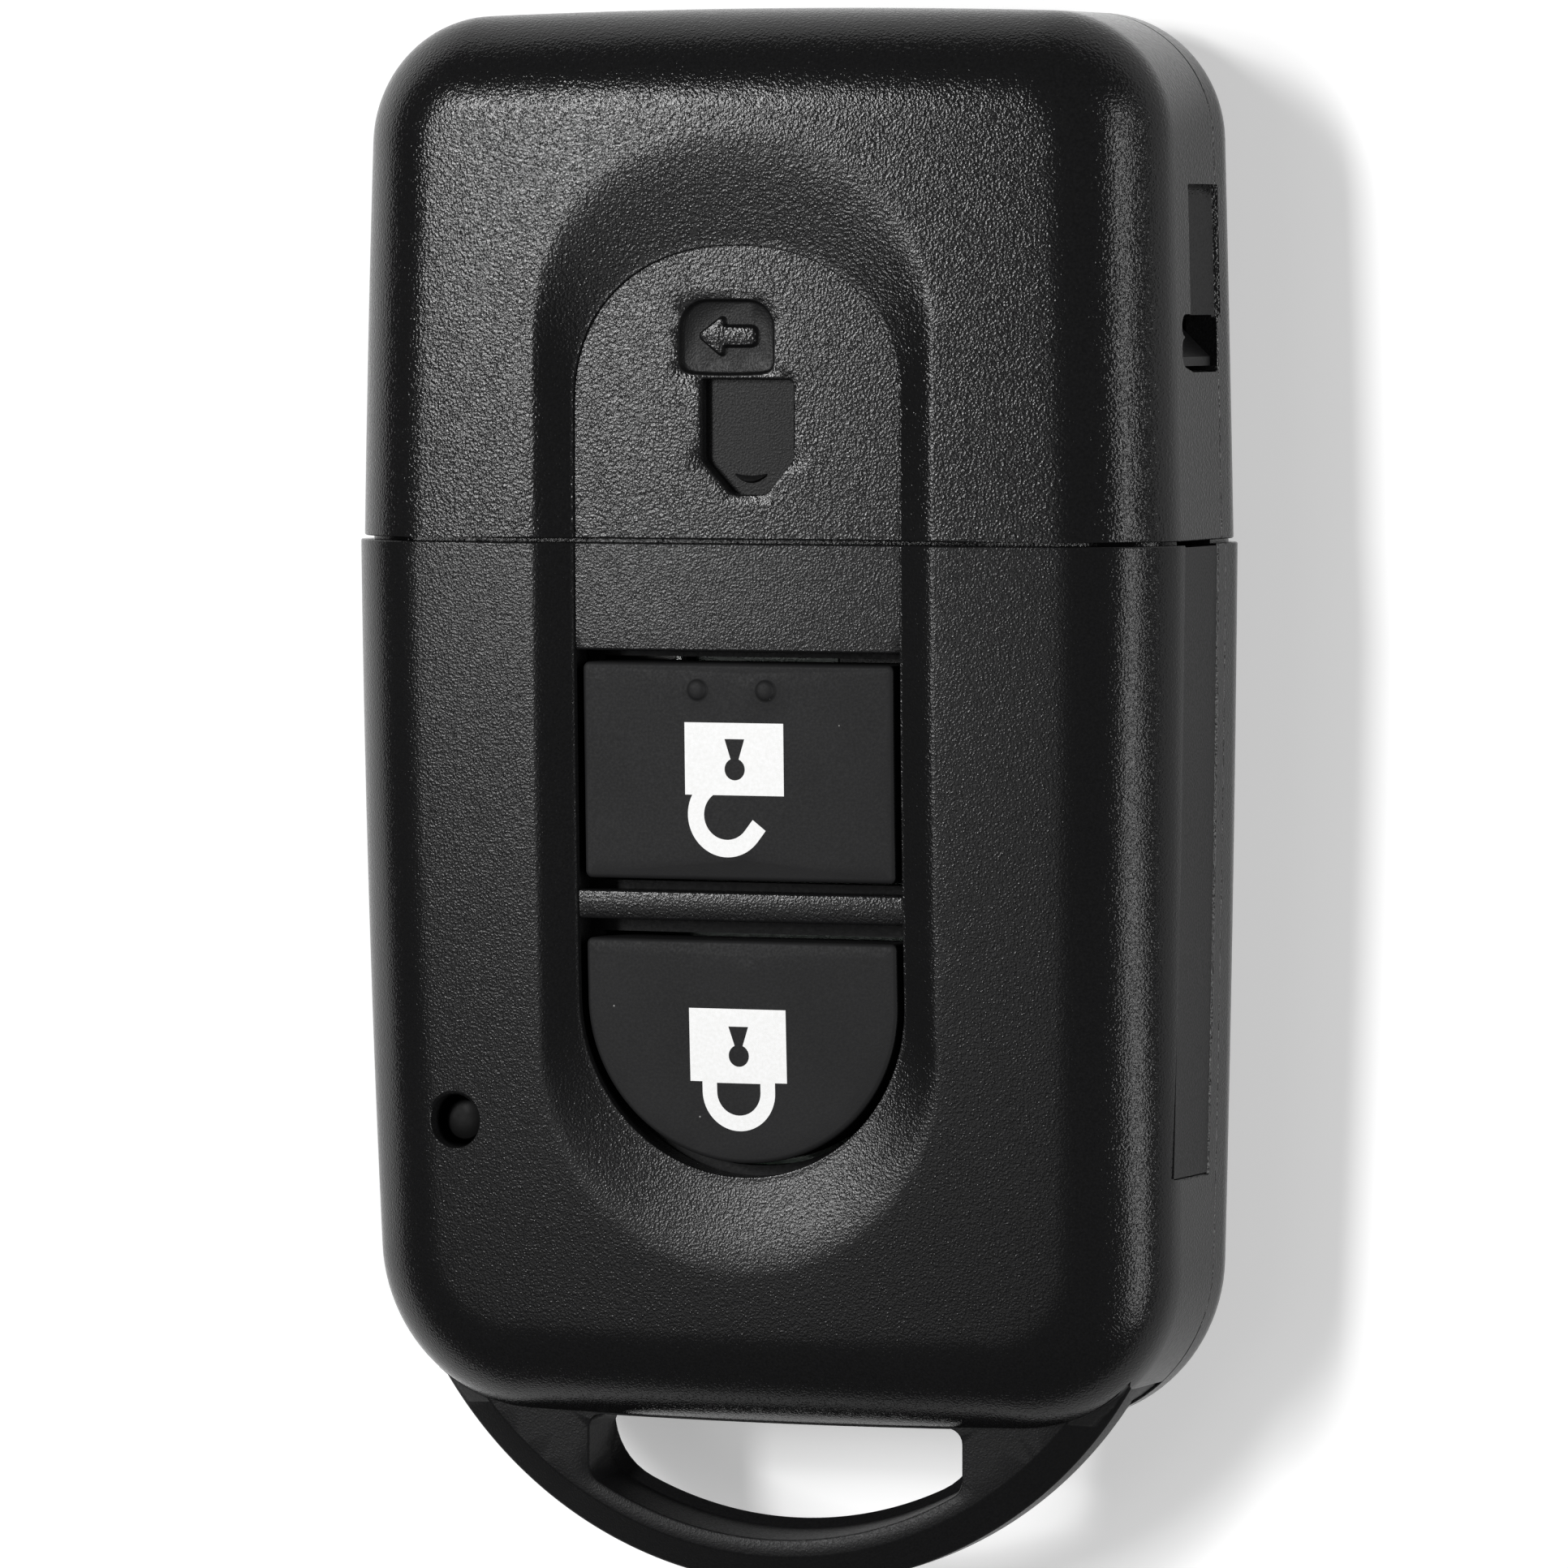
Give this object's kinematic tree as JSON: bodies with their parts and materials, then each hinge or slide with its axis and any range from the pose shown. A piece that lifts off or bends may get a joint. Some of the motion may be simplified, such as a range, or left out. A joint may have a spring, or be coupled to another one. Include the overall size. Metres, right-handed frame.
{
  "type": "key fob shell",
  "caption": "Car key fob with silicone lock and unlock keys, a ring loop and a pull-off cap that carries an emergency key blade, freed by a sliding catch.",
  "frame": {"origin": "middle of the bounding box's bottom face, on the flat rear face that the fob rests on", "axes": "+Z out of the front face, +Y along the fob to the cap's end, +X to the side with the latch bar"},
  "size_m": [0.0398, 0.0708, 0.0138],
  "materials": {
    "textured_shell": "black ABS with a fine spark-eroded grain",
    "satin_plastic": "black acetal, satin",
    "key_silicone": "dark grey silicone, matte",
    "component_black": "black moulding compound",
    "board_green": "green solder mask",
    "lens_plastic": "smoked clear plastic",
    "steel_can": "plain steel",
    "blade_nickel": "nickel-plated brass, satin"
  },
  "bodies": {
    "body": {"body_front_shell": "textured_shell", "body_rear_shell": "textured_shell", "chassis": "satin_plastic", "latch_bar": "satin_plastic", "keypad_web": "key_silicone", "unlock_switch": "component_black", "lock_switch": "component_black", "circuit_board": "board_green", "status_led": "lens_plastic", "led_lens": "lens_plastic", "control_chip": "component_black", "crystal_can": "steel_can", "antenna_coil": "component_black", "coin_cell": "steel_can", "contact_positive": "steel_can", "contact_negative": "steel_can"},
    "cap": {"cap_front_shell": "textured_shell", "cap_rear_shell": "textured_shell", "key_blade": "blade_nickel", "blade_pin": "steel_can", "slider_spring": "steel_can"},
    "slider": {"lock_slider": "satin_plastic"},
    "unlock": {"unlock_key": "key_silicone", "unlock_plunger": "component_black"},
    "lock": {"lock_key": "key_silicone", "lock_plunger": "component_black"}
  },
  "joints": [
    {"name": "cap_slide", "type": "slide", "parent": "body", "child": "cap", "axis": [0, 1, 0], "range_m": [0, 0.046], "deforming": ["latch_bar"]},
    {"name": "lock_slide", "type": "slide", "parent": "cap", "child": "slider", "axis": [-1, 0, 0], "range_m": [0, 0.0015], "stiffness_N_per_m": 200, "springref_m": -0.0005, "deforming": ["slider_spring"]},
    {"name": "unlock_press", "type": "slide", "parent": "body", "child": "unlock", "axis": [0, 0, -1], "range_m": [0, 0.0004], "stiffness_N_per_m": 400},
    {"name": "lock_press", "type": "slide", "parent": "body", "child": "lock", "axis": [0, 0, -1], "range_m": [0, 0.0004], "stiffness_N_per_m": 400}
  ]
}
